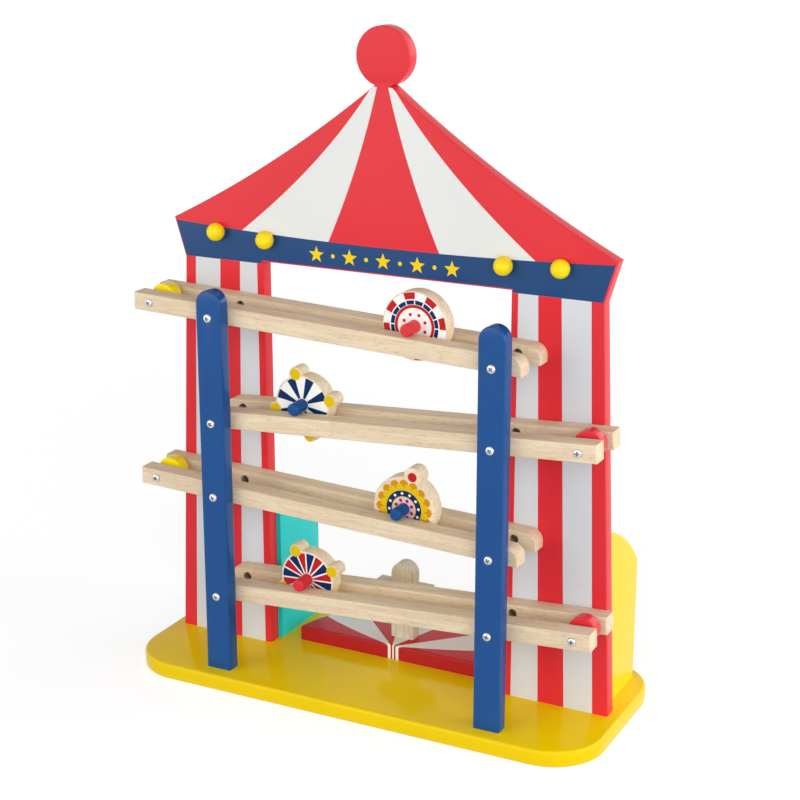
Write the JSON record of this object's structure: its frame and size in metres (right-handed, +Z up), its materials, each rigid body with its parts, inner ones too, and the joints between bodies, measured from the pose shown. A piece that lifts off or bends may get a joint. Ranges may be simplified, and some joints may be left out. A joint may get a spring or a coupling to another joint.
{
  "type": "roller track toy",
  "caption": "Free-standing wooden circus-tent tower on a rounded base with zig-zag double-rail tracks down which printed discs roll on dowel axles.",
  "frame": {"origin": "middle of the base board's underside, on the floor", "axes": "X along the tracks to the right, Y from the front posts to the rear braces, Z up"},
  "size_m": [0.42, 0.178, 0.5451],
  "materials": {
    "base_yellow": "satin yellow paint",
    "panel_red": "satin red paint with printed stripes",
    "post_blue": "satin blue paint",
    "rail_wood": "bare smooth wood",
    "wheel_yellow": "gloss yellow paint",
    "wheel_red": "gloss red paint",
    "roller_wood": "bare smooth wood with printed fronts",
    "axle_red": "gloss red paint",
    "axle_blue": "gloss blue paint",
    "brace_teal": "satin teal paint",
    "brace_yellow": "satin yellow paint",
    "stage_red": "satin red paint with printed rays",
    "bare_wood": "bare smooth wood",
    "knob_yellow": "gloss yellow paint",
    "screw_steel": "bright zinc plate"
  },
  "bodies": {
    "frame": {"base_board": "base_yellow", "tent_panel": "panel_red", "left_post": "post_blue", "right_post": "post_blue", "front_rail_1": "rail_wood", "front_rail_2": "rail_wood", "front_rail_3": "rail_wood", "front_rail_4": "rail_wood", "rear_rail_1": "rail_wood", "rear_rail_2": "rail_wood", "rear_rail_3": "rail_wood", "rear_rail_4": "rail_wood", "left_outer_brace": "brace_teal", "left_inner_brace": "brace_teal", "right_inner_brace": "brace_yellow", "right_outer_brace": "brace_yellow", "stage_board": "stage_red", "stage_upright": "bare_wood", "upright_peg": "bare_wood", "knob_1": "knob_yellow", "knob_2": "knob_yellow", "knob_3": "knob_yellow", "knob_4": "knob_yellow", "post_screws": "screw_steel", "rail_screws": "screw_steel", "wheel_screws": "screw_steel", "base_screws": "screw_steel"},
    "axle_1": {"roller_axle_1": "axle_red"},
    "disc_1": {"roller_disc_1": "roller_wood"},
    "axle_2": {"roller_axle_2": "axle_blue"},
    "disc_2": {"roller_disc_2": "roller_wood"},
    "axle_3": {"roller_axle_3": "axle_blue"},
    "disc_3": {"roller_disc_3": "roller_wood"},
    "axle_4": {"roller_axle_4": "axle_red"},
    "disc_4": {"roller_disc_4": "roller_wood"},
    "wheel_1": {"stop_wheel_1": "wheel_yellow"},
    "wheel_2": {"stop_wheel_2": "wheel_red"},
    "wheel_3": {"stop_wheel_3": "wheel_yellow"},
    "wheel_4": {"stop_wheel_4": "wheel_red"}
  },
  "joints": [
    {"name": "roll_1", "type": "slide", "parent": "frame", "child": "axle_1", "axis": [0.9992, 0, -0.0401], "range_m": [-0.194, 0.084]},
    {"name": "spin_1", "type": "hinge", "parent": "axle_1", "child": "disc_1", "pos_m": [0.04417, -0.037, 0.32298], "axis": [0, 1, 0], "continuous": true},
    {"name": "roll_2", "type": "slide", "parent": "frame", "child": "axle_2", "axis": [-0.9982, 0, -0.0593], "range_m": [-0.2019, 0.072]},
    {"name": "spin_2", "type": "hinge", "parent": "axle_2", "child": "disc_2", "pos_m": [-0.05621, -0.037, 0.24592], "axis": [0, 1, 0], "continuous": true},
    {"name": "roll_3", "type": "slide", "parent": "frame", "child": "axle_3", "axis": [0.9992, 0, -0.0401], "range_m": [-0.17, 0.093]},
    {"name": "spin_3", "type": "hinge", "parent": "axle_3", "child": "disc_3", "pos_m": [0.03518, -0.037, 0.17234], "axis": [0, 1, 0], "continuous": true},
    {"name": "roll_4", "type": "slide", "parent": "frame", "child": "axle_4", "axis": [-0.9982, 0, -0.0593], "range_m": [-0.1999, 0.074]},
    {"name": "spin_4", "type": "hinge", "parent": "axle_4", "child": "disc_4", "pos_m": [-0.05422, -0.037, 0.09504], "axis": [0, 1, 0], "continuous": true},
    {"name": "wheel_turn_1", "type": "hinge", "parent": "frame", "child": "wheel_1", "pos_m": [-0.18764, -0.037, 0.31978], "axis": [0, 1, 0], "continuous": true},
    {"name": "wheel_turn_2", "type": "hinge", "parent": "frame", "child": "wheel_2", "pos_m": [0.1876, -0.037, 0.24788], "axis": [0, 1, 0], "continuous": true},
    {"name": "wheel_turn_3", "type": "hinge", "parent": "frame", "child": "wheel_3", "pos_m": [-0.18764, -0.037, 0.16878], "axis": [0, 1, 0], "continuous": true},
    {"name": "wheel_turn_4", "type": "hinge", "parent": "frame", "child": "wheel_4", "pos_m": [0.1876, -0.037, 0.09688], "axis": [0, 1, 0], "continuous": true}
  ],
  "couplings": [
    {"joint": "spin_1", "follows": "roll_1", "rad_per_m": 200},
    {"joint": "spin_2", "follows": "roll_2", "rad_per_m": -200},
    {"joint": "spin_3", "follows": "roll_3", "rad_per_m": 200},
    {"joint": "spin_4", "follows": "roll_4", "rad_per_m": -200}
  ]
}
